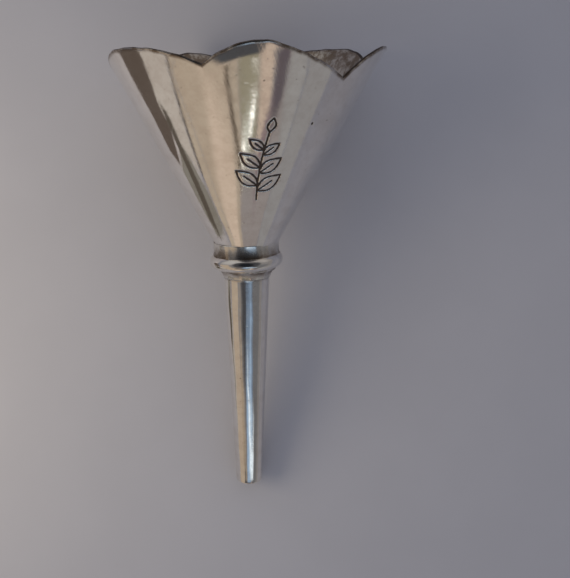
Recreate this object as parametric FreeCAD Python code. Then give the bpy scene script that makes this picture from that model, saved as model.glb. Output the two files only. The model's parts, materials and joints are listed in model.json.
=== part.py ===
"""A small silver funnel for filling scent bottles, lying on its side.

The funnel is drawn upright first. Its axis is local Z, the stem's tip is at height 0 and the bowl
opens upward. Angles round the axis are measured from the side that ends up on top (local -Y) toward
local +X. At the end the whole funnel is laid down, so that it rests on two petals of its rim and on
the tip of its stem: +Z is up from the surface, +Y runs toward the bowl, and the origin is under the
middle of it, on the surface. All lengths are in millimetres and all angles in degrees.
"""
import FreeCAD, Part
import math
import os

# Stem: a tapered tube, open at both ends
STEM_TIP_RADIUS = 1.28
STEM_TOP_RADIUS = 2.12
STEM_WALL = 0.36
TIP_ROUNDING = 0.18
SPIGOT_RADIUS = 2.30
SPIGOT_TOP = 23.40
STEM_SHOULDER = 20.95
OUTLET_BORE_RADIUS = 0.92
OUTLET_BORE_LENGTH = 3.00

# Bowl: one sheet rolled into a cone, with a short neck that slips over the stem's spigot
NECK_RADIUS = 2.72
NECK_BOTTOM = 21.75
CONE_FOOT = 23.72
CONE_HALF_ANGLE = 28.6
NECK_BLEND = 0.28
SHEET_ACROSS = 0.42
LIP_START = 39.00
LIP_FLARE = 0.14
BLANK_TOP = 43.00
CONE_STEPS = 20

# Knop: a ring of round wire, soldered on slightly askew
KNOP_HEIGHT = 22.48
KNOP_RADIUS = 3.40
KNOP_WIRE_RADIUS = 0.65
KNOP_TILT = -2.6

# Solder fillets above and below the knop
LOWER_SOLDER_RADIUS = 2.68
LOWER_SOLDER_LAND = 0.10  # width of its blunt lower edge
UPPER_SOLDER_RADIUS = 3.12
UPPER_SOLDER_SHOULDER = 24.00
UPPER_SOLDER_TOP = 24.90

# Six petals cut by hand along the rim. Each row: the angle and height of the notch where the petal
# begins, the angle and height of its crown, and how full its two shoulders are.
PETALS = (
    (-80.0, 39.3, -44.0, 40.95, 2.2, 2.2),
    (-13.2, 39.7, 10.5, 41.40, 2.0, 1.2),
    (49.5, 38.7, 80.0, 41.30, 2.3, 2.1),
    (105.0, 39.4, 134.0, 41.50, 2.0, 3.2),
    (179.0, 39.3, 207.0, 41.20, 1.7, 2.2),
    (231.0, 39.2, 255.0, 41.05, 2.2, 2.0),
)
STEPS_PER_SHOULDER = 9

FULL_TURN = 360.0
AXIS_START = FreeCAD.Vector(0, 0, 0)
AXIS = FreeCAD.Vector(0, 0, 1)


def point(radius, height, angle=0.0):
    """The point at a radius and a height, at an angle round the axis."""
    turn = math.radians(angle)
    return FreeCAD.Vector(radius * math.sin(turn), -radius * math.cos(turn), height)


def spin(edges):
    """The solid swept by turning a closed outline of edges once round the axis."""
    swept = Part.Face(Part.Wire(edges)).revolve(AXIS_START, AXIS, FULL_TURN)
    return Part.makeSolid(swept.Shells[0])


def chain(points):
    """Straight edges from each point to the next."""
    return [Part.LineSegment(a, b).toShape() for a, b in zip(points, points[1:])]


def smooth_edge(points):
    """One smooth curve through the points."""
    curve = Part.BSplineCurve()
    curve.interpolate(points)
    return curve.toShape()


def bowl_radius(height):
    """The bowl's outer radius: a straight neck, a short blend, a cone and a slightly flared lip."""
    rise = (height - CONE_FOOT) * math.tan(math.radians(CONE_HALF_ANGLE))
    if rise < NECK_BLEND:
        rise = max(0.0, rise + NECK_BLEND) ** 2 / (4 * NECK_BLEND)
    flare = max(0.0, (height - LIP_START) / (BLANK_TOP - LIP_START))
    return NECK_RADIUS + rise + LIP_FLARE * flare * flare


def rim_height(petal, next_notch, angle):
    """The height of the cut rim at an angle that lies on this petal."""
    notch_angle, notch_height, crown_angle, crown_height, left_fullness, right_fullness = petal
    if angle <= crown_angle:
        share = (crown_angle - angle) / (crown_angle - notch_angle)
        return crown_height - (crown_height - notch_height) * share ** left_fullness
    share = (angle - crown_angle) / (next_notch[0] - crown_angle)
    return crown_height - (crown_height - next_notch[1]) * share ** right_fullness


def petal_outlines():
    """For each petal, the angles and heights along its edge, from notch to notch."""
    outlines = []
    for index, petal in enumerate(PETALS):
        following = PETALS[(index + 1) % len(PETALS)]
        turn = FULL_TURN if index + 1 == len(PETALS) else 0.0
        next_notch = (following[0] + turn, following[1])
        angles = []
        for start, end in ((petal[0], petal[2]), (petal[2], next_notch[0])):
            for step in range(STEPS_PER_SHOULDER):
                angles.append(start + (end - start) * step / STEPS_PER_SHOULDER)
        angles.append(next_notch[0])
        outlines.append([(angle, rim_height(petal, next_notch, angle)) for angle in angles])
    return outlines


def cone_and_neck(inset, bottom):
    """A solid neck and cone, inset evenly from the bowl's outer surface."""
    neck_top = CONE_FOOT - NECK_BLEND / math.tan(math.radians(CONE_HALF_ANGLE))
    heights = [neck_top + (BLANK_TOP - neck_top) * step / CONE_STEPS for step in range(CONE_STEPS + 1)]
    side = [point(bowl_radius(height) - inset, height) for height in heights]
    foot = point(NECK_RADIUS - inset, bottom)
    middle = [side[-1], point(0, BLANK_TOP), point(0, bottom), foot, side[0]]
    return spin([smooth_edge(side)] + chain(middle))


def make_bowl():
    """The bowl: neck and cone of even sheet, with the petals cut along its top."""
    outside = cone_and_neck(0, NECK_BOTTOM)
    inside = cone_and_neck(SHEET_ACROSS, NECK_BOTTOM - 1)
    return cut_petals(outside.cut(inside))


def cut_petals(bowl):
    """Trim the blank's top edge down to the petals."""
    for outline in petal_outlines():
        near = smooth_edge([point(NECK_RADIUS, height, angle) for angle, height in outline])
        far = smooth_edge([point(BLANK_TOP, height, angle) for angle, height in outline])
        waste = Part.makeRuledSurface(near, far).extrude(AXIS * (BLANK_TOP / 2))
        bowl = bowl.cut(waste)
    return bowl


def make_stem():
    """The stem: a tapered tube with a rounded tip, a straight outlet bore and a spigot on top."""
    bore_top = SPIGOT_RADIUS - STEM_WALL
    mouth = (STEM_TIP_RADIUS - TIP_ROUNDING, 0.0)
    outline = chain([
        point(*mouth),
        point(OUTLET_BORE_RADIUS, 0.0),
        point(OUTLET_BORE_RADIUS, OUTLET_BORE_LENGTH),
        point(bore_top, SPIGOT_TOP),
        point(SPIGOT_RADIUS, SPIGOT_TOP),
        point(SPIGOT_RADIUS, NECK_BOTTOM),
        point(STEM_TOP_RADIUS, STEM_SHOULDER),
        point(STEM_TIP_RADIUS, TIP_ROUNDING),
    ])
    corner = TIP_ROUNDING * (1 - math.sqrt(0.5))
    rounding = Part.Arc(
        point(STEM_TIP_RADIUS, TIP_ROUNDING),
        point(STEM_TIP_RADIUS - corner, corner),
        point(*mouth),
    )
    return spin(outline + [rounding.toShape()])


def make_knop(core):
    """The knop: a ring of round wire, tipped a little out of square, fitted round the neck."""
    knop = Part.makeTorus(KNOP_RADIUS - KNOP_WIRE_RADIUS, KNOP_WIRE_RADIUS)
    knop.rotate(AXIS_START, FreeCAD.Vector(0, 1, 0), KNOP_TILT)
    knop.translate(AXIS * KNOP_HEIGHT)
    return knop.cut(core)


def make_lower_solder():
    """The solder fillet between the foot of the neck and the stem."""
    rise = NECK_BOTTOM - STEM_SHOULDER
    outside = Part.makeCone(STEM_TOP_RADIUS + LOWER_SOLDER_LAND, LOWER_SOLDER_RADIUS, rise)
    inside = Part.makeCone(STEM_TOP_RADIUS, SPIGOT_RADIUS, rise)
    fillet = outside.cut(inside)
    fillet.translate(AXIS * STEM_SHOULDER)
    return fillet


def make_upper_solder(core, knop):
    """The solder fillet that fills the corner between the knop and the cone."""
    low = point(SPIGOT_RADIUS, KNOP_HEIGHT)
    side = point(UPPER_SOLDER_RADIUS, KNOP_HEIGHT)
    shoulder = point(UPPER_SOLDER_RADIUS, UPPER_SOLDER_SHOULDER)
    top = point(SPIGOT_RADIUS, UPPER_SOLDER_TOP)
    return spin(chain([low, side, shoulder, top, low])).cut(core).cut(knop)


def resting_tilt():
    """How far the axis rises toward the bowl when rim and stem tip both touch the surface."""
    tilts = []
    for outline in petal_outlines():
        for angle, height in outline:
            reach = -bowl_radius(height) * math.cos(math.radians(angle))
            tilts.append(math.atan2(reach - STEM_TIP_RADIUS, height - TIP_ROUNDING))
    return math.degrees(max(tilts))


def lay_down(shapes):
    """Turn the upright funnel onto its side and set its origin under its middle."""
    turn = resting_tilt() - 90.0
    for shape in shapes:
        shape.rotate(AXIS_START, FreeCAD.Vector(1, 0, 0), turn)
    box = Part.makeCompound(shapes).optimalBoundingBox()
    for shape in shapes:
        shape.translate(FreeCAD.Vector(-box.Center.x, -box.Center.y, -box.ZMin))


def main():
    """Make every piece, lay the funnel down and write one STEP file for each piece."""
    core = cone_and_neck(0, NECK_BOTTOM - 2)
    knop = make_knop(core)
    pieces = {
        "bowl": make_bowl(),
        "knop_ring": knop,
        "stem": make_stem(),
        "upper_solder": make_upper_solder(core, knop),
        "lower_solder": make_lower_solder(),
    }
    lay_down(list(pieces.values()))
    os.makedirs("parts", exist_ok=True)
    for name, shape in pieces.items():
        shape.exportStep("parts/" + name + ".step")


main()
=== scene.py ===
"""A small silver funnel for filling scent bottles, lying on a sheet of pale paper.

The funnel rests on two petals of its rim and on the tip of its stem. Every piece is turned round
the funnel's own axis: an angle is measured from the side that faces up toward +X, and a height is
measured along the axis from the stem's tip. Sizes here are in millimetres; the meshes are in metres.
"""

import json
import logging
import math
from collections.abc import Callable, Sequence
from dataclasses import dataclass, field
from enum import Enum
from typing import Any

import bpy
import numpy as np
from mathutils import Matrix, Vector


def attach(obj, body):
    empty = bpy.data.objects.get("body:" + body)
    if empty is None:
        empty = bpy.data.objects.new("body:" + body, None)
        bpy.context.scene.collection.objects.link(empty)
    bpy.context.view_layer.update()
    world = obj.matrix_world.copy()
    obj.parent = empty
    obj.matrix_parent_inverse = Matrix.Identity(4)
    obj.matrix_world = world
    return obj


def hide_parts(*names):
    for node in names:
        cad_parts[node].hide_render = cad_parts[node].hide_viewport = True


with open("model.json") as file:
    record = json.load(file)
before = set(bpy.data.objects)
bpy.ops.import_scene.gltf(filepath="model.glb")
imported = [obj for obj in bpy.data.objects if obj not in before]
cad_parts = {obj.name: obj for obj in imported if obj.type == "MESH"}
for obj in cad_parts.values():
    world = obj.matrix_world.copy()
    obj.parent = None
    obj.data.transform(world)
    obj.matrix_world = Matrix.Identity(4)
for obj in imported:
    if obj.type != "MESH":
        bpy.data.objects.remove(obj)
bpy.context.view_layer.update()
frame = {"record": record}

MM = 0.001
FULL_TURN = 360.0
LOG = logging.getLogger("funnel")

Colour = tuple[float, float, float]
Wave = tuple[float, float, float, float]
Array = np.ndarray


class Slot(Enum):
    """The names of the record's finish slots for the pieces."""

    BOWL = "silver_bowl"
    KNOP = "silver_knop"
    STEM = "silver_stem"
    SOLDER = "silver_solder"


# ---------------------------------------------------------------- shader maths


@dataclass(frozen=True)
class Graph:
    """A node tree and the few ways that the finishes add nodes to it."""

    tree: bpy.types.NodeTree

    def node(self, kind: str, settings: dict[str, Any], inputs: dict[Any, Any]) -> bpy.types.Node:
        """Add one node.

        Args:
            kind: the node's type.
            settings: its properties, set first.
            inputs: a value, or a socket to link, for each input's name or number.

        Returns:
            The new node.
        """
        node = self.tree.nodes.new(kind)
        for name, value in settings.items():
            setattr(node, name, value)
        for name, value in inputs.items():
            if isinstance(value, Value):
                value = value.socket
            if isinstance(value, bpy.types.NodeSocket):
                self.tree.links.new(value, node.inputs[name])
            else:
                node.inputs[name].default_value = value
        return node

    def value(
        self, kind: str, settings: dict[str, Any], inputs: dict[Any, Any], output: Any = 0,
    ) -> "Value":
        """Add one node and wrap one of its outputs.

        Args:
            kind: the node's type.
            settings: its properties, set first.
            inputs: values or sockets for its inputs.
            output: the name or number of the output to use.

        Returns:
            The wrapped output.
        """
        return Value(self, self.node(kind, settings, inputs).outputs[output])

    def mix(self, share: "Value | float", first: Any, second: Any) -> "Value":
        """Blend two colours.

        Args:
            share: how much of the second colour shows, from 0 to 1.
            first: a colour or a socket.
            second: a colour or a socket.

        Returns:
            The blended colour.
        """
        inputs = {0: share, 6: self._opaque(first), 7: self._opaque(second)}
        return self.value("ShaderNodeMix", {"data_type": "RGBA"}, inputs, 2)

    def _opaque(self, colour: Any) -> Any:
        """A plain colour with its alpha added; a socket as it is."""
        return (*colour, 1.0) if isinstance(colour, tuple) else colour

    def noise(self, place: "Value", scale: float, detail: float = 3.0, rough: float = 0.5) -> "Value":
        """Cloudy noise between 0 and 1.

        Args:
            place: the position that it varies over.
            scale: how many clouds to a metre.
            detail: how many finer layers there are.
            rough: how strong the finer layers are.

        Returns:
            The noise.
        """
        inputs = {"Vector": place, "Scale": scale, "Detail": detail, "Roughness": rough}
        return self.value("ShaderNodeTexNoise", {}, inputs, "Fac")

    def measure(self, name: str) -> "Value":
        """A number that the mesh carries at each of its points."""
        return self.value("ShaderNodeAttribute", {"attribute_name": name}, {}, "Fac")


@dataclass(frozen=True)
class Value:
    """One socket, so that shader maths reads as an ordinary sum."""

    graph: Graph
    socket: bpy.types.NodeSocket

    def _math(self, operation: str, first: Any, second: Any = 0.0) -> "Value":
        """Add a Math node.

        Args:
            operation: the node's operation.
            first: its first term.
            second: its second term.

        Returns:
            The result.
        """
        return self.graph.value("ShaderNodeMath", {"operation": operation}, {0: first, 1: second})

    def __add__(self, other: Any) -> "Value":
        """This plus the other."""
        return self._math("ADD", self, other)

    def __radd__(self, other: Any) -> "Value":
        """The other plus this."""
        return self._math("ADD", other, self)

    def __sub__(self, other: Any) -> "Value":
        """This minus the other."""
        return self._math("SUBTRACT", self, other)

    def __rsub__(self, other: Any) -> "Value":
        """The other minus this."""
        return self._math("SUBTRACT", other, self)

    def __mul__(self, other: Any) -> "Value":
        """This times the other."""
        return self._math("MULTIPLY", self, other)

    def __rmul__(self, other: Any) -> "Value":
        """The other times this."""
        return self._math("MULTIPLY", other, self)

    def angle_to(self, other: "Value") -> "Value":
        """The angle, in radians, whose tangent is this over the other."""
        return self._math("ARCTAN2", self, other)

    def slope(self) -> "Value":
        """The angle, in radians, whose sine is this."""
        return self._math("ARCSINE", self)

    def rise(self, low: float, high: float) -> "Value":
        """A smooth step from 0 at the low value to 1 at the high one.

        Args:
            low: where it leaves 0.
            high: where it reaches 1.

        Returns:
            The step.
        """
        inputs = {"Value": self, "From Min": low, "From Max": high}
        return self.graph.value("ShaderNodeMapRange", {"interpolation_type": "SMOOTHSTEP"}, inputs)

    def between(self, low: float, high: float, soft: float) -> "Value":
        """1 inside a range and 0 outside it, with soft ends.

        Args:
            low: the range's lower end.
            high: the range's upper end.
            soft: how wide the soft ends are.

        Returns:
            The mask.
        """
        return self.rise(low - soft, low + soft) * (1.0 - self.rise(high - soft, high + soft))


def new_graph(name: str) -> tuple[bpy.types.Material, Graph]:
    """Make an empty material.

    Args:
        name: the material's name.

    Returns:
        The material and the graph to fill.
    """
    material = bpy.data.materials.new(name)
    material.use_nodes = True
    material.node_tree.nodes.clear()
    return material, Graph(material.node_tree)


# ---------------------------------------------------------------- finishes


@dataclass(frozen=True)
class SilverFinish:
    """Old polished silver: bright where it is handled, brown where polish never reaches."""

    name: str
    bright: Colour = (0.93, 0.90, 0.86)
    worn: Colour = (0.80, 0.75, 0.70)
    tarnish: Colour = (0.16, 0.105, 0.065)
    cut_dirt: Colour = (0.055, 0.036, 0.028)
    smoothness: float = 0.05
    haze: float = 0.09
    bump: float = 0.25
    scratch_angle: tuple[float, float, float] = (0.0, 0.0, 0.0)
    cloud_scale: float = 190.0
    film_scale: float = 900.0
    speck_scale: float = 3800.0
    hairline_scale: float = 9000.0
    hairline_length: float = 14.0
    film_share: float = 0.55
    pit_darkness: float = 0.7
    groove_darkness: float = 0.95
    groove_roughness: float = 0.30
    dirt_roughness: float = 0.22
    bump_height: float = 0.000012

    def build(self) -> bpy.types.Material:
        """Make the material.

        Returns:
            The material.
        """
        material, graph = new_graph(self.name)
        place = graph.value("ShaderNodeTexCoord", {}, {}, "Object")
        clouds = graph.noise(place, self.cloud_scale, 4.0, 0.6)
        film = graph.noise(place, self.film_scale, 6.0, 0.7)
        specks = graph.noise(place, self.speck_scale, 2.0, 0.5)
        groove = graph.measure("groove")
        corner = graph.measure("corner")
        mottle = clouds.rise(0.35, 0.72) * (1.0 - self.film_share) + film.rise(0.38, 0.66) * self.film_share
        shade = graph.mix(mottle, self.bright, self.worn)
        blotches = (1.0 - self.film_share) + self.film_share * film.rise(0.38, 0.58)
        dirt = corner.rise(0.10, 1.0) * blotches
        pits = specks.rise(0.70, 0.77) * film.rise(0.40, 0.62) * self.pit_darkness
        aged = graph.mix(dirt, shade, self.tarnish)
        marked = graph.mix(pits, aged, self.tarnish)
        colour = graph.mix(groove.rise(0.05, 0.60) * self.groove_darkness, marked, self.cut_dirt)
        dulled = self.groove_roughness * groove + self.dirt_roughness * dirt
        rough = self.smoothness + self.haze * film.rise(0.35, 0.80) + dulled
        height = self._hairlines(graph, place) * 0.6 + specks.rise(0.66, 0.80) * -0.8 + film * 1.1
        bump = graph.value(
            "ShaderNodeBump", {},
            {"Strength": self.bump, "Distance": self.bump_height, "Height": height},
        )
        shader = graph.value(
            "ShaderNodeBsdfPrincipled", {},
            {"Base Color": colour, "Roughness": rough, "Metallic": 1.0, "Normal": bump},
        )
        graph.node("ShaderNodeOutputMaterial", {}, {"Surface": shader})
        return material

    def _hairlines(self, graph: Graph, place: Value) -> Value:
        """The fine lines that a polishing cloth leaves, all running one way.

        Args:
            graph: the material's graph.
            place: the position that they vary over.

        Returns:
            Their height, from 0 to 1.
        """
        across = self.hairline_length
        stretched = graph.value(
            "ShaderNodeMapping", {"vector_type": "TEXTURE"},
            {"Vector": place, "Rotation": self.scratch_angle, "Scale": (1.0, across, across)},
        )
        return graph.noise(stretched, self.hairline_scale, 3.0, 0.7)


@dataclass(frozen=True)
class PaperFinish:
    """Plain pale paper with a faint tooth."""

    colour: Colour = (0.625, 0.60, 0.605)
    darkest: float = 0.94
    tooth_scale: float = 2600.0
    mottle_scale: float = 90.0
    roughness: float = 0.85
    gloss: float = 0.2
    bump: float = 0.10
    bump_height: float = 0.00003

    def build(self) -> bpy.types.Material:
        """Make the material.

        Returns:
            The material.
        """
        material, graph = new_graph("paper")
        place = graph.value("ShaderNodeTexCoord", {}, {}, "Object")
        tooth = graph.noise(place, self.tooth_scale, 4.0, 0.6)
        mottle = graph.noise(place, self.mottle_scale, 3.0, 0.5)
        darker = tuple(self.darkest * part for part in self.colour)
        colour = graph.mix(mottle.rise(0.3, 0.7) * 0.5, self.colour, darker)
        bump = graph.value(
            "ShaderNodeBump", {},
            {"Strength": self.bump, "Distance": self.bump_height, "Height": tooth},
        )
        shader = graph.value(
            "ShaderNodeBsdfPrincipled", {},
            {
                "Base Color": colour, "Roughness": self.roughness,
                "Specular IOR Level": self.gloss, "Normal": bump,
            },
        )
        graph.node("ShaderNodeOutputMaterial", {}, {"Surface": shader})
        return material


@dataclass(frozen=True)
class ReflectionCardGlow:
    """An evenly glowing card, though it is no lamp: a painted reflection."""

    name: str
    colour: Colour

    def build(self) -> bpy.types.Material:
        """Make the material.

        Returns:
            The material.
        """
        material, graph = new_graph(self.name)
        glow = graph.value("ShaderNodeEmission", {}, {"Color": (*self.colour, 1.0)})
        graph.node("ShaderNodeOutputMaterial", {}, {"Surface": glow})
        return material


# ---------------------------------------------------------------- shape helpers


@dataclass(frozen=True)
class Axis:
    """Where the funnel's own axis lies, read from its outlet."""

    tip: Vector
    along: Vector
    side: Vector
    up: Vector

    @classmethod
    def from_record(cls) -> "Axis":
        """Read the axis from the outlet's mount.

        Returns:
            The axis, from the centre of the stem's tip toward the bowl.
        """
        outlet = next(m for m in frame["record"]["mounts"] if m["name"] == "outlet_bore")
        along = -Vector(outlet["axis"]).normalized()
        half_bore = outlet["dims"]["length_mm"] * MM / 2
        side = Vector((1.0, 0.0, 0.0))
        return cls(Vector(outlet["pos_m"]) - along * half_bore, along, side, side.cross(along))

    def place(self, radius: Array, height: Array, angle: Array) -> Array:
        """Put points given round the axis where the part lies.

        Args:
            radius: distances from the axis, in millimetres.
            height: distances along the axis from the tip, in millimetres.
            angle: angles round the axis, in degrees.

        Returns:
            The points, in metres, with x, y and z last.
        """
        turn = np.radians(angle)
        across = (radius * np.sin(turn))[..., None] * np.array(self.side)
        over = (radius * np.cos(turn))[..., None] * np.array(self.up)
        ahead = np.asarray(height)[..., None] * np.array(self.along)
        return np.array(self.tip) + MM * (across + over + ahead)


def ripple(angle: Array, height: Array, waves: Sequence[Wave]) -> Array:
    """The slight unevenness of hand work.

    Args:
        angle: angles round the axis, in degrees.
        height: heights along the axis, in millimetres.
        waves: size, turns round the axis, turns per millimetre of height and phase of each wave.

    Returns:
        How far the surface stands out, in millimetres.
    """
    total = np.zeros(np.broadcast(angle, height).shape)
    for size, around, along, phase in waves:
        total += size * np.sin(np.radians(angle) * around + height * along * math.tau + phase)
    return total


def smooth_step(value: Array, low: float, high: float) -> Array:
    """A smooth step from 0 at the low value to 1 at the high one.

    Args:
        value: the values to step.
        low: where it leaves 0.
        high: where it reaches 1.

    Returns:
        The steps.
    """
    share = np.clip((value - low) / (high - low), 0.0, 1.0)
    return share * share * (3.0 - 2.0 * share)


def ring_mesh(name: str, points: Array, measures: dict[str, Array]) -> bpy.types.Object:
    """A closed ring of quads: the outline's points run round its section and round the axis.

    Args:
        name: the object's name.
        points: outline rows by columns round the axis by three, in metres.
        measures: a number for every point, by name.

    Returns:
        The new object, linked to the scene.
    """
    rows, columns = points.shape[:2]
    index = np.arange(rows * columns).reshape(rows, columns)
    below = np.roll(index, -1, axis=0)
    corners = [index, np.roll(index, -1, axis=1), np.roll(below, -1, axis=1), below]
    faces = np.stack(corners, axis=-1).reshape(-1, 4)
    mesh = bpy.data.meshes.new(name)
    mesh.vertices.add(rows * columns)
    mesh.vertices.foreach_set("co", points.reshape(-1))
    mesh.loops.add(faces.size)
    mesh.loops.foreach_set("vertex_index", faces.reshape(-1))
    mesh.polygons.add(len(faces))
    mesh.polygons.foreach_set("loop_start", np.arange(0, faces.size, 4))
    mesh.update(calc_edges=True)
    mesh.shade_smooth()
    for label, values in measures.items():
        layer = mesh.attributes.new(label, "FLOAT", "POINT")
        layer.data.foreach_set("value", values.reshape(-1))
    piece = bpy.data.objects.new(name, mesh)
    bpy.context.scene.collection.objects.link(piece)
    return piece


def settle(piece: bpy.types.Object, material: bpy.types.Material, slot: Slot, *nodes: str) -> None:
    """Dress a piece and put it in place of its solid.

    Args:
        piece: the finished mesh.
        material: its finish.
        slot: the record's slot for that finish; not used.
        nodes: the solids that it stands for.
    """
    piece.data.materials.append(material)
    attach(piece, "root")
    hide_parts(*nodes)


# ---------------------------------------------------------------- the rim and the engraving


@dataclass(frozen=True)
class Petal:
    """One petal of the rim, from the notch where it begins up to its crown.

    A shoulder's fullness is the power by which the edge falls away from the crown, and a curl is
    how far that half of the lip turns out, in millimetres.
    """

    notch_angle: float
    notch_height: float
    crown_angle: float
    crown_height: float
    left_fullness: float
    right_fullness: float
    left_curl: float
    right_curl: float


@dataclass
class Rim:
    """The hand-cut top edge of the bowl."""

    petals: tuple[Petal, ...] = (
        Petal(-80.0, 39.3, -44.0, 40.95, 2.2, 2.2, 0.05, 0.03),
        Petal(-13.2, 39.7, 10.5, 41.40, 2.0, 1.2, -0.10, 0.01),
        Petal(49.5, 38.7, 80.0, 41.30, 2.3, 2.1, -0.06, 0.06),
        Petal(105.0, 39.4, 134.0, 41.50, 2.0, 3.2, 0.08, 0.03),
        Petal(179.0, 39.3, 207.0, 41.20, 1.7, 2.2, 0.05, -0.05),
        Petal(231.0, 39.2, 255.0, 41.05, 2.2, 2.0, 0.06, 0.02),
    )
    curl_turn: tuple[float, float] = (-4.0, 10.0)
    curl_fade: int = 4
    wobble: tuple[Wave, ...] = ((0.018, 31, 0, 0.4), (0.012, 53, 0, 2.0))

    def columns(self, fine: tuple[float, float], fine_step: float, step: float) -> Array:
        """Angles for the mesh's columns, with one on every notch.

        Args:
            fine: the range of angles that needs close columns.
            fine_step: the spacing inside that range.
            step: the spacing elsewhere.

        Returns:
            The angles, rising once round the axis.
        """
        start = self.petals[0].notch_angle
        stops = sorted({petal.notch_angle for petal in self.petals} | {*fine, start + FULL_TURN})
        angles: list[float] = []
        for low, high in zip(stops, stops[1:]):
            inside = fine[0] <= (low + high) / 2 <= fine[1]
            count = max(2, round((high - low) / (fine_step if inside else step)))
            angles.extend(low + (high - low) * part / count for part in range(count))
        return np.array(angles)

    def _shares(self, angle: Array) -> tuple[Array, Array]:
        """The rim's height and its curl at each angle.

        Args:
            angle: angles between the first notch and one turn later, in degrees.

        Returns:
            Heights, in millimetres, and how far the lip curls out.
        """
        height = np.zeros_like(angle)
        curl = np.zeros_like(angle)
        for index, petal in enumerate(self.petals):
            following = self.petals[(index + 1) % len(self.petals)]
            end = following.notch_angle + (FULL_TURN if following is self.petals[0] else 0.0)
            left = (angle >= petal.notch_angle) & (angle < petal.crown_angle)
            right = (angle >= petal.crown_angle) & (angle < end)
            away_left = (petal.crown_angle - angle) / (petal.crown_angle - petal.notch_angle)
            away_right = (angle - petal.crown_angle) / (end - petal.crown_angle)
            drop_left = np.clip(away_left, 0, 1) ** petal.left_fullness
            drop_right = np.clip(away_right, 0, 1) ** petal.right_fullness
            low_left = petal.crown_height - petal.notch_height
            low_right = petal.crown_height - following.notch_height
            height = np.where(left, petal.crown_height - low_left * drop_left, height)
            height = np.where(right, petal.crown_height - low_right * drop_right, height)
            away = np.where(left, away_left, away_right)
            turn = smooth_step(angle - petal.crown_angle, *self.curl_turn)
            side = petal.left_curl + (petal.right_curl - petal.left_curl) * turn
            curl = np.where(left | right, side * (1.0 - np.clip(away, 0, 1) ** self.curl_fade), curl)
        return height, curl

    def height(self, angle: Array) -> Array:
        """The rim's height at each angle, with the cutter's small wobble."""
        return self._shares(angle)[0] + ripple(angle, np.zeros_like(angle), self.wobble)

    def curl(self, angle: Array) -> Array:
        """How far the lip curls out at each angle, in millimetres."""
        return self._shares(angle)[1]


@dataclass
class Sprig:
    """A small engraved sprig of leaves on the upper side of the bowl.

    Each leaf is given by how far up the stalk it grows, its side and its length.
    """

    angle: float = 12.0
    foot: float = 28.9
    length: float = 6.6
    lean: float = 0.9
    line: float = 0.115
    depth: float = 0.05
    leaves: tuple[tuple[float, float, float], ...] = (
        (0.14, 1.0, 2.5), (0.22, -1.0, 2.4), (0.41, 1.0, 2.3),
        (0.49, -1.0, 2.2), (0.68, 1.0, 1.7), (0.75, -1.0, 1.6),
    )
    spread: float = 0.90
    plumpness: float = 0.24
    vein: float = 0.62
    sway_back: float = 0.35
    bud_length: float = 1.25
    bud_plumpness: float = 0.34
    bud_lean: float = 0.25
    stalk_points: int = 25
    leaf_points: int = 11
    chatter: float = 0.22
    cone_slope: float = 1.14
    reach: tuple[float, float, float] = (3.6, -0.6, 2.0)

    def _stalk(self, share: Array) -> Array:
        """Points along the stalk.

        Args:
            share: how far up the stalk, from 0 to 1.

        Returns:
            Sideways and upward distances, in millimetres, last.
        """
        share = np.asarray(share, float)
        sway = self.lean * (share ** 2 - self.sway_back * share)
        return np.stack([sway, self.length * share], axis=-1)

    def _leaf(self, root: Array, side: float, length: float, bulge: float) -> Array:
        """One edge, or the vein, of a leaf.

        Args:
            root: where the leaf leaves the stalk.
            side: 1 for the right and -1 for the left.
            length: the leaf's length.
            bulge: how far the edge stands out from the vein.

        Returns:
            Points along it.
        """
        share = np.linspace(0.0, 1.0, self.leaf_points)
        way = np.array([side * math.sin(self.spread), math.cos(self.spread)])
        out = np.array([way[1], -way[0]])
        swell = bulge * length * np.sin(math.pi * share ** 0.85)
        return root + np.outer(share * length, way) + np.outer(swell, out)

    def strokes(self) -> list[Array]:
        """Every cut line of the sprig.

        Returns:
            The lines, each as points.
        """
        lines = [self._stalk(np.linspace(0.0, 1.0, self.stalk_points))]
        for share, side, length in self.leaves:
            root = self._stalk(share)
            for bulge in (-self.plumpness, self.plumpness):
                lines.append(self._leaf(root, side, length, bulge))
            lines.append(self._leaf(root, side, length * self.vein, 0.0))
        tip = self._stalk(1.0)
        for side in (-1.0, 1.0):
            share = np.linspace(0.0, 1.0, self.leaf_points)
            swell = side * self.bud_plumpness * np.sin(math.pi * share)
            lines.append(tip + np.stack([swell + self.bud_lean * share, self.bud_length * share], axis=-1))
        return lines

    def cut(self, angle: Array, height: Array, radius: Array) -> Array:
        """How deep the engraving is, from 0 to 1, at points of the bowl.

        Args:
            angle: angles round the axis, in degrees.
            height: heights along the axis, in millimetres.
            radius: the bowl's radius at those points, in millimetres.

        Returns:
            The depths.
        """
        half_width, below, above = self.reach
        across = np.radians(angle - self.angle) * radius
        upward = (height - self.foot) * self.cone_slope
        near = (np.abs(across) < half_width) & (upward > below) & (upward < self.length + above)
        spots = np.stack([across[near], upward[near]], axis=-1)
        gap = np.full(len(spots), 9.0)
        for line in self.strokes():
            for start, end in zip(line, line[1:]):
                way = end - start
                share = np.clip((spots - start) @ way / (way @ way), 0.0, 1.0)
                gap = np.minimum(gap, np.linalg.norm(spots - start - share[:, None] * way, axis=1))
        depth = np.zeros_like(across)
        shake = np.sin(9.0 * spots[:, 0] + 4.0 * spots[:, 1]) * np.sin(11.0 * spots[:, 1])
        depth[near] = 1.0 - smooth_step(gap * (1.0 + self.chatter * shake), self.line * 0.2, self.line)
        return depth


# ---------------------------------------------------------------- the pieces


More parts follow.
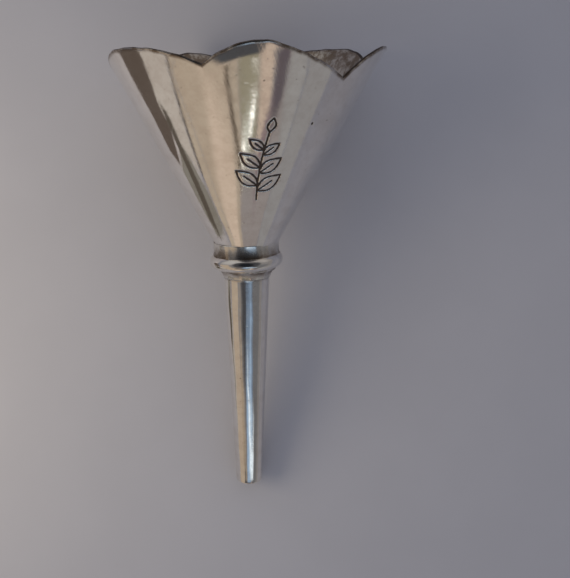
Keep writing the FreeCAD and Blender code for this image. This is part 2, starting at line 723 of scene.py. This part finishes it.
@dataclass
class Bowl:
    """The conical bowl: one sheet with a short neck, a petal rim and an engraved sprig."""

    axis: Axis
    rim: Rim = field(default_factory=Rim)
    sprig: Sprig = field(default_factory=Sprig)
    neck_radius: float = 2.72
    neck_bottom: float = 21.75
    cone_foot: float = 23.72
    half_angle: float = 28.6
    blend: float = 0.28
    lip_start: float = 39.0
    lip_top: float = 43.0
    lip_flare: float = 0.14
    curl_reach: float = 1.0
    curl_power: float = 1.6
    sheet: float = 0.42
    edge_drop: float = 0.02
    edge_dirt: float = 0.55
    edge_rows: int = 7
    inner_rows: int = 70
    fine_angles: tuple[float, float] = (-13.2, 44.0)
    fine_step: float = 0.36
    plain_step: float = 1.2
    engraved_heights: tuple[float, float] = (28.4, 36.6)
    usual_rim: float = 41.0
    neck_share: float = 0.19
    row_counts: tuple[int, int, int, int] = (22, 40, 150, 34)
    calm_heights: tuple[float, float] = (23.0, 27.0)
    pit: tuple[float, float, float] = (40.0, 35.3, 0.15)
    rim_film: float = 0.8
    rim_film_depths: tuple[float, float] = (-0.22, -0.04)
    foot_film: float = 0.6
    foot_film_heights: tuple[float, float] = (23.9, 24.9)
    inner_film: tuple[float, float] = (0.95, 0.80)
    inner_film_heights: tuple[float, float] = (30.0, 41.0)
    waves: tuple[Wave, ...] = (
        (0.030, 2, 0.012, 0.8), (0.020, 3, -0.020, 2.1), (0.012, 5, 0.035, 4.0),
        (0.006, 9, 0.060, 1.2), (0.004, 14, -0.085, 5.1),
    )

    def radius(self, height: Array) -> Array:
        """The outer radius of the plain bowl.

        Args:
            height: heights along the axis, in millimetres.

        Returns:
            The radii, in millimetres.
        """
        rise = (height - self.cone_foot) * math.tan(math.radians(self.half_angle))
        eased = np.clip(rise + self.blend, 0.0, None) ** 2 / (4 * self.blend)
        flare = np.clip((height - self.lip_start) / (self.lip_top - self.lip_start), 0.0, None)
        return self.neck_radius + np.where(rise < self.blend, eased, rise) + self.lip_flare * flare ** 2

    def _row_shares(self) -> Array:
        """How far up the sheet each outer row lies, closer together where the sprig is cut.

        Returns:
            Shares from 0 at the neck's foot to 1 at the rim.
        """
        span = self.usual_rim - self.neck_bottom
        low, high = (np.array(self.engraved_heights) - self.neck_bottom) / span
        stops = (0.0, self.neck_share, low, high, 1.0)
        parts = [
            np.linspace(start, end, count, endpoint=end == 1.0)
            for start, end, count in zip(stops, stops[1:], self.row_counts)
        ]
        return np.concatenate(parts)

    def build(self) -> bpy.types.Object:
        """Make the bowl's mesh.

        Returns:
            The new object.
        """
        angle = self.rim.columns(self.fine_angles, self.fine_step, self.plain_step)
        top = self.rim.height(angle)
        curl = self.rim.curl(angle)
        shares = self._row_shares()
        outer_height = self.neck_bottom + shares[:, None] * (top - self.neck_bottom)
        edge_turn = np.linspace(0.0, math.pi, self.edge_rows + 2)[1:-1]
        edge_height = top + self.sheet / 2 * np.sin(edge_turn)[:, None] - self.edge_drop
        inner_shares = np.linspace(1.0, 0.0, self.inner_rows)
        inner_height = self.neck_bottom + inner_shares[:, None] * (top - self.neck_bottom)
        height = np.concatenate([outer_height, edge_height, inner_height])
        angles = np.broadcast_to(angle, height.shape)
        inset = np.concatenate([
            np.zeros(len(shares)),
            self.sheet / 2 * (1.0 - np.cos(edge_turn)),
            np.full(self.inner_rows, self.sheet),
        ])[:, None]
        lip = curl * np.clip(1.0 - (top - height) / self.curl_reach, 0.0, 1.1) ** self.curl_power
        calm = smooth_step(height, *self.calm_heights)
        radius = self.radius(height) + lip + ripple(angles, height, self.waves) * calm
        groove = self._grooves(angles, height, radius, len(shares))
        radius = radius - inset - self.sprig.depth * groove
        edge = smooth_step(inset, 0.0, self.sheet * 0.3) * (inset < self.sheet * 0.9)
        groove = np.maximum(groove, self.edge_dirt * edge)
        corner = self._corners(height, inset, top)
        points = self.axis.place(radius, height, angles)
        return ring_mesh("bowl_sheet", points, {"groove": groove, "corner": corner})

    def _grooves(self, angle: Array, height: Array, radius: Array, outer_rows: int) -> Array:
        """The sprig and one old pit, cut only into the outside.

        Args:
            angle: angles of the mesh's points.
            height: heights of the mesh's points.
            radius: radii of the mesh's points.
            outer_rows: how many rows belong to the outside.

        Returns:
            Depths from 0 to 1.
        """
        groove = self.sprig.cut(angle, height, radius)
        pit_angle, pit_height, pit_radius = self.pit
        gap = np.hypot(np.radians(angle - pit_angle) * radius, height - pit_height)
        groove = np.maximum(groove, 1.0 - smooth_step(gap, pit_radius * 0.3, pit_radius))
        groove[outer_rows:] = 0.0
        return groove

    def _corners(self, height: Array, inset: Array, top: Array) -> Array:
        """Where polish never reaches: by the knop, along the rim and down inside.

        Args:
            height: heights of the mesh's points.
            inset: how far each row lies inside the outer surface.
            top: the rim's height at each column.

        Returns:
            Values from 0 to 1.
        """
        edge = self.rim_film * smooth_step(height - top, *self.rim_film_depths)
        foot = self.foot_film * (1.0 - smooth_step(height, *self.foot_film_heights))
        deep, shallow = self.inner_film
        inside = deep + (shallow - deep) * smooth_step(height, *self.inner_film_heights)
        return np.where(inset > self.sheet * 0.9, inside, np.maximum(foot, edge))


@dataclass
class Stem:
    """The tapered tube, its tip rounded and its top end inside the bowl's neck."""

    axis: Axis
    tip_radius: float = 1.28
    top_radius: float = 2.12
    shoulder: float = 20.95
    spigot_radius: float = 2.30
    spigot_foot: float = 21.75
    spigot_top: float = 23.40
    bore_radius: float = 0.92
    bore_length: float = 3.0
    wall: float = 0.36
    rounding: float = 0.24
    mouth_rounding: float = 0.08
    calm_tip: tuple[float, float] = (0.2, 2.0)
    calm_head: tuple[float, float] = (19.8, 20.8)
    collar_film: float = 0.5
    collar_film_heights: tuple[float, float] = (20.6, 20.95)
    bore_film: float = 0.85
    bore_film_reach: float = 0.10
    columns: int = 220
    tube_rows: int = 110
    bore_rows: int = 12
    waves: tuple[Wave, ...] = (
        (0.012, 2, 0.03, 0.5), (0.006, 3, 0.09, 2.0), (0.003, 5, 0.21, 1.0),
    )

    def _outline(self) -> Array:
        """The tube's section, from the outer top down round the tip and up the bore.

        Returns:
            Radii and heights, in millimetres.
        """
        turn = np.linspace(0.0, math.pi / 2, 9)
        centre = self.tip_radius - self.rounding
        tip = np.stack([centre + self.rounding * np.cos(turn), self.rounding * (1 - np.sin(turn))], axis=1)
        inner_turn = np.linspace(0.0, math.pi / 2, 5)
        lip = self.bore_radius + self.mouth_rounding * (1 - np.sin(inner_turn))
        mouth = np.stack([lip, self.mouth_rounding * (1 - np.cos(inner_turn))], axis=1)
        down = np.linspace(self.shoulder, self.rounding, self.tube_rows, endpoint=False)
        taper = self.tip_radius + (self.top_radius - self.tip_radius) * down / self.shoulder
        bore_top = self.spigot_radius - self.wall
        bore = np.linspace(self.bore_length, self.spigot_top, self.bore_rows)
        share = (bore - self.bore_length) / (self.spigot_top - self.bore_length)
        widening = self.bore_radius + (bore_top - self.bore_radius) * share
        head = np.array([[self.spigot_radius, self.spigot_top], [self.spigot_radius, self.spigot_foot]])
        return np.concatenate([
            head, np.stack([taper, down], axis=1), tip, mouth, np.stack([widening, bore], axis=1),
        ])

    def build(self) -> bpy.types.Object:
        """Make the stem's mesh.

        Returns:
            The new object.
        """
        outline = self._outline()
        angle = np.linspace(0.0, FULL_TURN, self.columns, endpoint=False)
        radius = np.broadcast_to(outline[:, :1], (len(outline), self.columns))
        height = np.broadcast_to(outline[:, 1:], radius.shape)
        angles = np.broadcast_to(angle, radius.shape)
        calm = smooth_step(height, *self.calm_tip) * (1.0 - smooth_step(height, *self.calm_head))
        uneven = radius + ripple(angles, height, self.waves) * calm
        collar = self.collar_film * smooth_step(height, *self.collar_film_heights)
        corner = np.where(radius < self.bore_radius + self.bore_film_reach, self.bore_film, collar)
        measures = {"groove": np.zeros_like(radius), "corner": corner}
        return ring_mesh("stem_tube", self.axis.place(uneven, height, angles), measures)


@dataclass
class Knop:
    """The ring of round wire round the neck, soldered on slightly askew."""

    axis: Axis
    height: float = 22.56
    outer_radius: float = 3.40
    wire_radius: float = 0.67
    tilt: float = 2.6
    film: float = 0.95
    columns: int = 240
    section: int = 64
    waves: tuple[Wave, ...] = ((0.012, 3, 0.16, 0.3), (0.009, 5, 0.16, 1.9), (0.005, 11, 0.3, 0.7))

    def build(self) -> bpy.types.Object:
        """Make the knop's mesh.

        Returns:
            The new object.
        """
        angle = np.linspace(0.0, FULL_TURN, self.columns, endpoint=False)
        turn = np.linspace(0.0, math.tau, self.section, endpoint=False)
        angles = np.broadcast_to(angle, (self.section, self.columns))
        turns = np.broadcast_to(turn[:, None], angles.shape)
        wire = self.wire_radius + ripple(angles, turns, self.waves)
        radius = self.outer_radius - self.wire_radius + wire * np.cos(turns)
        lift = math.tan(math.radians(self.tilt)) * radius * np.sin(np.radians(angles))
        height = self.height + wire * np.sin(turns) + lift
        corner = self.film * smooth_step(-np.cos(turns) + 0.45 * np.sin(turns), 0.15, 0.50)
        measures = {"groove": np.zeros_like(radius), "corner": corner}
        return ring_mesh("knop_wire", self.axis.place(radius, height, angles), measures)


@dataclass
class SolderFillet:
    """A ring of solder in a corner, a little lumpy as flowed solder is.

    The foot, crest and root are the radius and height of its section's corners, and the grime is
    how tarnished it is at the foot and at the crest.
    """

    axis: Axis
    name: str
    foot: tuple[float, float]
    crest: tuple[float, float]
    root: tuple[float, float]
    grime: tuple[float, float]
    hollow: float = 0.10
    tilt: float = 0.0
    columns: int = 200
    face_rows: int = 12
    waves: tuple[Wave, ...] = ((0.018, 7, 0.2, 0.6), (0.014, 12, 0.3, 2.2), (0.010, 19, 0.1, 4.1))

    def build(self) -> bpy.types.Object:
        """Make the fillet's mesh.

        Returns:
            The new object.
        """
        share = np.linspace(0.0, 1.0, self.face_rows)
        foot, crest, root = np.array(self.foot), np.array(self.crest), np.array(self.root)
        chord = crest - foot
        inward = root - (foot + crest) / 2
        inward = inward / np.linalg.norm(inward)
        sag = self.hollow * np.sin(math.pi * share)
        face = foot + np.outer(share, chord) + np.outer(sag, inward)
        outline = np.concatenate([face, [root]])
        angle = np.linspace(0.0, FULL_TURN, self.columns, endpoint=False)
        radius = np.broadcast_to(outline[:, :1], (len(outline), self.columns))
        height = np.broadcast_to(outline[:, 1:], radius.shape)
        angles = np.broadcast_to(angle, radius.shape)
        lumps = ripple(angles, height, self.waves)
        lift = math.tan(math.radians(self.tilt)) * radius * np.sin(np.radians(angles))
        points = self.axis.place(radius + lumps, height + lift, angles)
        row = np.append(self.grime[0] + (self.grime[1] - self.grime[0]) * share, 1.0)
        corner = np.broadcast_to(row[:, None], radius.shape)
        return ring_mesh(self.name, points, {"groove": np.zeros_like(radius), "corner": corner})


# ---------------------------------------------------------------- studio


@dataclass(frozen=True)
class Glow:
    """A soft-edged patch of painted reflection: a colour in the world that only glossy rays see, a band or
    highlight in the silver.
    """

    colour: Colour
    azimuth: tuple[float, float]
    elevation: tuple[float, float]
    soft: float = 1.0
    slant: float = 0.0

    def mask(self, azimuth: Value, elevation: Value) -> Value:
        """Where the patch lies, its sides leaning by the slant's degrees to a degree of elevation.

        Args:
            azimuth: the direction's angle round from -Y toward +X, in degrees.
            elevation: the direction's angle above the paper, in degrees.

        Returns:
            1 inside the patch and 0 outside it.
        """
        middle = sum(self.elevation) / 2
        straight = azimuth - (elevation - middle) * self.slant
        return straight.between(*self.azimuth, self.soft) * elevation.between(*self.elevation, self.soft)


@dataclass(frozen=True)
class ReflectionCard:
    """A glowing card just above the paper that only glossy rays see: a painted reflection in the silver."""

    name: str
    colour: Colour
    level: float
    outline: tuple[tuple[float, float], ...]


@dataclass
class Studio:
    """Pale paper, soft light from the left, painted reflections for the silver and a camera.

    Places are in millimetres. A later patch lies over the earlier ones where they meet.
    """

    camera_place: tuple[float, float, float] = (3.44, -2.18, 81.72)
    lens: float = 50.0
    sensor: float = 36.0
    floor_reach: float = 2500.0
    window_place: tuple[float, float, float] = (-64.0, -9.0, 42.0)
    window_size: float = 46.0
    window_power: float = 0.0206
    window_tint: Colour = (1.0, 0.89, 0.70)
    sky: Colour = (0.78, 0.83, 1.0)
    sky_strength: float = 0.36
    # Base colour of the painted reflection world where no patch lies.
    painted_room_reflection: Colour = (0.215, 0.205, 0.205)
    # Painted reflections and painted highlights in the silver, one patch per band or glint.
    reflection_patches: tuple[Glow, ...] = (
        Glow((0.42, 0.41, 0.40), (-170.0, -100.0), (4.0, 48.0), 14.0),
        Glow((0.34, 0.32, 0.31), (115.0, 165.0), (8.0, 40.0), 12.0),
        Glow((0.42, 0.345, 0.270), (-92.0, -9.0), (-30.0, 33.0), 1.2),
        Glow((0.57, 0.460, 0.370), (-27.0, -9.0), (-30.0, 13.6), 4.0),
        Glow((0.37, 0.300, 0.225), (-47.0, -20.0), (28.0, 41.0), 3.0),
        Glow((0.40, 0.335, 0.265), (-9.0, -1.5), (-30.0, 30.0), 1.0),
        Glow((0.265, 0.240, 0.235), (-5.0, 30.0), (-30.0, 11.4), 1.6),
        Glow((0.27, 0.245, 0.180), (-1.0, 12.0), (12.5, 30.0), 0.8),
        Glow((0.50, 0.400, 0.325), (12.5, 21.0), (11.6, 34.0), 1.0),
        Glow((0.200, 0.150, 0.165), (13.0, 22.5), (8.6, 11.8), 0.9, 2.0),
        Glow((0.105, 0.088, 0.100), (22.5, 30.0), (8.2, 34.0), 0.9),
        Glow((0.045, 0.028, 0.018), (-8.6, -5.9), (11.4, 19.0), 0.35, -1.05),
        Glow((0.56, 0.57, 0.50), (-1.0, 8.0), (12.9, 16.0), 0.8, 2.4),
        Glow((1.75, 1.75, 1.66), (5.6, 9.0), (14.6, 16.2), 0.5, 2.0),
        Glow((1.35, 1.35, 1.25), (-1.8, 1.2), (13.0, 14.6), 0.5, 1.2),
        Glow((0.09, 0.075, 0.065), (-45.8, -44.4), (-30.0, 3.5), 0.3),
        Glow((0.290, 0.285, 0.285), (30.5, 46.0), (-30.0, 14.0), 2.0),
        Glow((0.145, 0.145, 0.152), (30.0, 80.0), (12.0, 54.0), 4.0),
        Glow((0.055, 0.055, 0.060), (-200.0, 200.0), (46.0, 95.0), 5.0),
        Glow((0.010, 0.012, 0.015), (-200.0, 200.0), (64.0, 95.0), 4.0),
        Glow((0.065, 0.066, 0.072), (-34.0, 14.0), (21.5, 36.0), 2.0),
        Glow((0.17, 0.23, 0.32), (-6.0, 42.0), (36.0, 56.0), 2.5),
        Glow((0.33, 0.45, 0.61), (-14.0, 34.0), (38.0, 49.5), 2.5),
        Glow((0.95, 1.08, 1.18), (16.0, 25.0), (31.0, 51.0), 1.8, -1.9),
    )
    # Painted reflections on the paper: glowing cards, pale and dark, that only glossy rays see.
    reflection_cards: tuple[ReflectionCard, ...] = (
        ReflectionCard("pale_reflection_card", (0.45, 0.405, 0.365), 0.20, (
            (-44, -9.5), (-41, -16), (-48, -29), (-60, -52), (-480, -440), (-600, -330), (-62, -17),
        )),
        ReflectionCard("warm_reflection_card", (0.43, 0.360, 0.285), 0.22, (
            (-62, -63), (-50, -75), (-25, -95), (-150, -1200), (-1100, -1050), (-480, -446), (-76, -69),
        )),
        ReflectionCard("right_reflection_card", (0.255, 0.250, 0.255), 0.20, (
            (30, -32), (70, -22), (150, -60), (900, -500), (500, -1000), (60, -160), (22, -60),
        )),
        ReflectionCard("grey_reflection_card", (0.215, 0.200, 0.175), 0.24, (
            (-21, -1), (-41, -15.5), (-48, -29), (-46, -33), (-51, -50), (-45, -60), (-38, -45),
            (-18, -12), (-14.5, -7),
        )),
        ReflectionCard("dark_reflection_card", (0.105, 0.083, 0.070), 0.26, (
            (-20.5, 3.3), (-22, -1), (-40, -12), (-44, -9.5), (-57, -16), (-110, -30), (-110, 20),
            (-44, 10), (-31.5, 8), (-24.4, 4.3),
        )),
        ReflectionCard("stem_reflection_card", (0.095, 0.080, 0.065), 0.27, (
            (-17, -6.5), (-48, -13), (-54, -24), (-33, -19), (-17, -12),
        )),
        ReflectionCard("thin_reflection_card", (0.09, 0.075, 0.065), 0.28, (
            (-66, -64.5), (-69, -61.5), (-500, -465), (-490, -479),
        )),
    )

    def build(self) -> None:
        """Set the floor, the lights, the painted reflections and the camera."""
        self._floor()
        self._lay_reflection_cards()
        self._window()
        self._paint_reflection_world()
        self._camera()
        bpy.context.scene.view_settings.view_transform = "Standard"

    def _flat(self, name: str, outline: Sequence[tuple[float, float]], level: float) -> bpy.types.Object:
        """A flat stage piece.

        Args:
            name: the object's name.
            outline: its corners seen from above, in millimetres.
            level: its height, in millimetres.

        Returns:
            The new object.
        """
        mesh = bpy.data.meshes.new(name)
        corners = [(x * MM, y * MM, level * MM) for x, y in outline]
        mesh.from_pydata(corners, [], [tuple(range(len(corners)))])
        piece = bpy.data.objects.new(name, mesh)
        bpy.context.scene.collection.objects.link(piece)
        return piece

    def _floor(self) -> None:
        """Lay the paper."""
        reach = self.floor_reach
        corners = [(-reach, -reach), (reach, -reach), (reach, reach), (-reach, reach)]
        floor = self._flat("paper", corners, 0.0)
        floor.data.materials.append(PaperFinish().build())

    def _lay_reflection_cards(self) -> None:
        """Lay the glowing cards of painted reflection beside the funnel, seen only by glossy rays."""
        for card in self.reflection_cards:
            piece = self._flat(card.name, card.outline, card.level)
            piece.data.materials.append(ReflectionCardGlow(card.name, card.colour).build())
            # Only glossy rays see each card: it is a painted reflection and lights nothing.
            piece.visible_camera = False
            piece.visible_diffuse = False
            piece.visible_shadow = False

    def _window(self) -> None:
        """Hang one soft warm lamp on the left; the sky lights the rest coolly."""
        light = bpy.data.lights.new("window_left", "AREA")
        light.size = self.window_size * MM
        light.energy = self.window_power
        light.color = self.window_tint
        lamp = bpy.data.objects.new("window_left", light)
        lamp.location = Vector(self.window_place) * MM
        lamp.rotation_euler = (-lamp.location).to_track_quat("-Z", "Y").to_euler()
        lamp.visible_glossy = False
        bpy.context.scene.collection.objects.link(lamp)

    def _paint_reflection_world(self) -> None:
        """Paint the silver's reflections: glossy rays see a world of coloured patches, every other ray a
        plain cool sky.
        """
        world = bpy.data.worlds.new("painted_room_reflection")
        world.use_nodes = True
        world.node_tree.nodes.clear()
        graph = Graph(world.node_tree)
        way = graph.value("ShaderNodeTexCoord", {}, {}, "Generated")
        parts = graph.node("ShaderNodeSeparateXYZ", {}, {"Vector": way})
        east, north, up = (Value(graph, parts.outputs[index]) for index in range(3))
        azimuth = east.angle_to(0.0 - north) * math.degrees(1.0)
        elevation = up.slope() * math.degrees(1.0)
        colour: Any = self.painted_room_reflection
        for patch in self.reflection_patches:
            colour = graph.mix(patch.mask(azimuth, elevation), colour, patch.colour)
        # Glossy rays see the painted reflection; all other rays see the plain sky.
        painted_reflection = graph.value("ShaderNodeBackground", {}, {"Color": colour, "Strength": 1.0})
        plain = graph.value(
            "ShaderNodeBackground", {}, {"Color": (*self.sky, 1.0), "Strength": self.sky_strength},
        )
        path = graph.node("ShaderNodeLightPath", {}, {})
        inputs = {0: path.outputs["Is Glossy Ray"], 1: plain, 2: painted_reflection}
        both = graph.value("ShaderNodeMixShader", {}, inputs)
        graph.node("ShaderNodeOutputWorld", {}, {"Surface": both})
        bpy.context.scene.world = world

    def _camera(self) -> None:
        """Hang the camera over the funnel, looking straight down with the bowl at the top."""
        data = bpy.data.cameras.new("overhead")
        data.lens = self.lens
        data.sensor_width = self.sensor
        data.clip_start = 0.001
        camera = bpy.data.objects.new("overhead", data)
        camera.location = Vector(self.camera_place) * MM
        bpy.context.scene.collection.objects.link(camera)
        bpy.context.scene.camera = camera


# ---------------------------------------------------------------- the funnel


@dataclass
class Funnel:
    """The whole funnel: bowl, stem, knop and the solder that joins them."""

    axis: Axis = field(default_factory=Axis.from_record)

    def build(self) -> None:
        """Make and dress every piece, in the order they were joined."""
        sheet = SilverFinish("bowl_silver", scratch_angle=(0.3, 0.0, 0.4))
        tube = SilverFinish("stem_silver", smoothness=0.08, haze=0.10, scratch_angle=(0.25, 0.0, 1.57))
        wire = SilverFinish("knop_silver", smoothness=0.08, haze=0.14, tarnish=(0.10, 0.07, 0.045))
        solder = SilverFinish(
            "solder_silver", bright=(0.88, 0.85, 0.80), worn=(0.74, 0.70, 0.64), smoothness=0.12, haze=0.16,
        )
        knop = Knop(self.axis)
        upper = SolderFillet(
            self.axis, "upper_solder_collar", foot=(3.10, 22.98), crest=(3.07, 24.42), root=(2.60, 23.6),
            grime=(1.0, 0.05), hollow=0.07, tilt=knop.tilt,
        )
        lower = SolderFillet(
            self.axis, "lower_solder_fillet", foot=(2.20, 20.97), crest=(2.66, 21.80), root=(2.1, 21.8),
            grime=(0.15, 0.95), hollow=0.06,
        )
        pieces: list[tuple[Callable[[], bpy.types.Object], SilverFinish, Slot, str]] = [
            (Bowl(self.axis).build, sheet, Slot.BOWL, "bowl"),
            (Stem(self.axis).build, tube, Slot.STEM, "stem"),
            (knop.build, wire, Slot.KNOP, "knop_ring"),
            (upper.build, solder, Slot.SOLDER, "upper_solder"),
            (lower.build, solder, Slot.SOLDER, "lower_solder"),
        ]
        materials: dict[str, bpy.types.Material] = {}
        for make, finish, slot, node in pieces:
            if finish.name not in materials:
                materials[finish.name] = finish.build()
            piece = make()
            settle(piece, materials[finish.name], slot, node)
            LOG.info("%s: %d points in place of %s", piece.name, len(piece.data.vertices), node)


def main() -> None:
    """Build the funnel and its studio."""
    logging.basicConfig(level=logging.INFO, format="%(message)s")
    Funnel().build()
    Studio().build()


if __name__ == "__main__":
    main()
